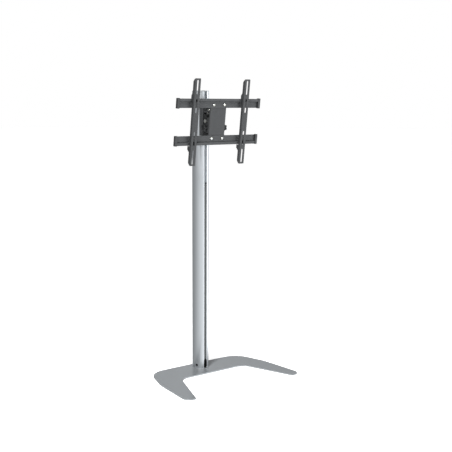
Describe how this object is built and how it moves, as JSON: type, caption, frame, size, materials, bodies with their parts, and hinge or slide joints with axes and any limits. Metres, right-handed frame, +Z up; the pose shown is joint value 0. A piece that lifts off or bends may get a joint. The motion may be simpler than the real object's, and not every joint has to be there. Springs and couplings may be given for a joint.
{
  "type": "tv stand with mount",
  "caption": "Floor stand with a flat two-legged base plate, an oval column with cable channels, and a height-adjustable swivelling and tilting head with hook-on arms.",
  "frame": {"origin": "on the floor, under the middle of the base plate's outline", "axes": "+Z up along the column, +X to the right as seen from the front, the front faces -Y"},
  "size_m": [0.7038, 0.453, 1.5043],
  "materials": {
    "plate_paint": "satin silver-grey powder coat",
    "anodised": "satin natural anodised extrusion",
    "strip_plastic": "extruded grey plastic",
    "cap_plastic": "moulded grey plastic",
    "black_paint": "black fine-texture powder coat",
    "black_plastic": "moulded black plastic",
    "rubber": "black rubber",
    "zinc": "bright zinc plate",
    "black_steel": "black oxide",
    "nylon": "natural nylon"
  },
  "bodies": {
    "base": {"base_plate": "plate_paint", "foot_pad_1": "rubber", "foot_pad_2": "rubber", "foot_pad_3": "rubber", "foot_pad_4": "rubber", "foot_pad_5": "rubber", "foot_pad_6": "rubber", "foot_block": "zinc", "base_bolt_1": "zinc", "base_bolt_2": "zinc", "base_bolt_3": "zinc", "base_bolt_4": "zinc", "column_screw_left": "black_steel", "column_screw_right": "black_steel", "column": "anodised", "outlet_liner": "black_plastic", "front_cover_strip": "strip_plastic", "rear_cover_strip": "strip_plastic", "column_cap": "cap_plastic", "cap_screw_left": "black_steel", "cap_screw_right": "black_steel"},
    "height_carriage": {"carriage": "black_paint", "slot_nut_upper": "zinc", "slot_nut_lower": "zinc", "clamp_screw_upper": "black_steel", "clamp_screw_lower": "black_steel", "swivel_pin": "zinc", "swivel_nut": "zinc"},
    "swivel": {"swivel_head": "black_paint", "swivel_washer_upper": "nylon", "swivel_washer_lower": "nylon", "tilt_axle": "zinc", "tilt_axle_nut": "zinc", "tilt_bush_left": "nylon", "tilt_bush_right": "nylon", "tilt_lock_bolt_left": "zinc", "tilt_lock_bolt_right": "zinc"},
    "knob_left": {"tilt_knob_left": "black_plastic"},
    "knob_right": {"tilt_knob_right": "black_plastic"},
    "tilt_frame": {"tilt_plate": "black_paint", "rail_upper": "black_paint", "rail_lower": "black_paint", "rail_cap_1": "black_plastic", "rail_cap_2": "black_plastic", "rail_cap_3": "black_plastic", "rail_cap_4": "black_plastic", "rail_bolt_1": "zinc", "rail_bolt_2": "zinc", "rail_bolt_3": "zinc", "rail_bolt_4": "zinc"},
    "left_arm": {"arm_left": "black_paint"},
    "right_arm": {"arm_right": "black_paint"},
    "left_safety": {"safety_screw_left": "zinc"},
    "right_safety": {"safety_screw_right": "zinc"}
  },
  "joints": [
    {"name": "height_slide", "type": "slide", "parent": "base", "child": "height_carriage", "axis": [0, 0, 1], "range_m": [-0.2, 0.05]},
    {"name": "swivel_hinge", "type": "hinge", "parent": "height_carriage", "child": "swivel", "pos_m": [0, 0.0925, 1.3], "axis": [0, 0, 1], "range_deg": [-20, 20]},
    {"name": "tilt_hinge", "type": "hinge", "parent": "swivel", "child": "tilt_frame", "pos_m": [0, 0.0525, 1.3], "axis": [1, 0, 0], "range_deg": [-12, 8]},
    {"name": "knob_left_turn", "type": "hinge", "parent": "swivel", "child": "knob_left", "pos_m": [-0.0605, 0.0525, 1.266], "axis": [-1, 0, 0], "range_deg": [0, 180]},
    {"name": "knob_right_turn", "type": "hinge", "parent": "swivel", "child": "knob_right", "pos_m": [0.0605, 0.0525, 1.266], "axis": [1, 0, 0], "range_deg": [0, 180]},
    {"name": "arm_left_slide", "type": "slide", "parent": "tilt_frame", "child": "left_arm", "axis": [1, 0, 0], "range_m": [-0.05, 0.05]},
    {"name": "arm_right_slide", "type": "slide", "parent": "tilt_frame", "child": "right_arm", "axis": [1, 0, 0], "range_m": [-0.05, 0.05]},
    {"name": "safety_left_slide", "type": "slide", "parent": "left_arm", "child": "left_safety", "axis": [0, 0.1219, -0.9925], "range_m": [0, 0.012]},
    {"name": "safety_right_slide", "type": "slide", "parent": "right_arm", "child": "right_safety", "axis": [0, 0.1219, -0.9925], "range_m": [0, 0.012]}
  ]
}
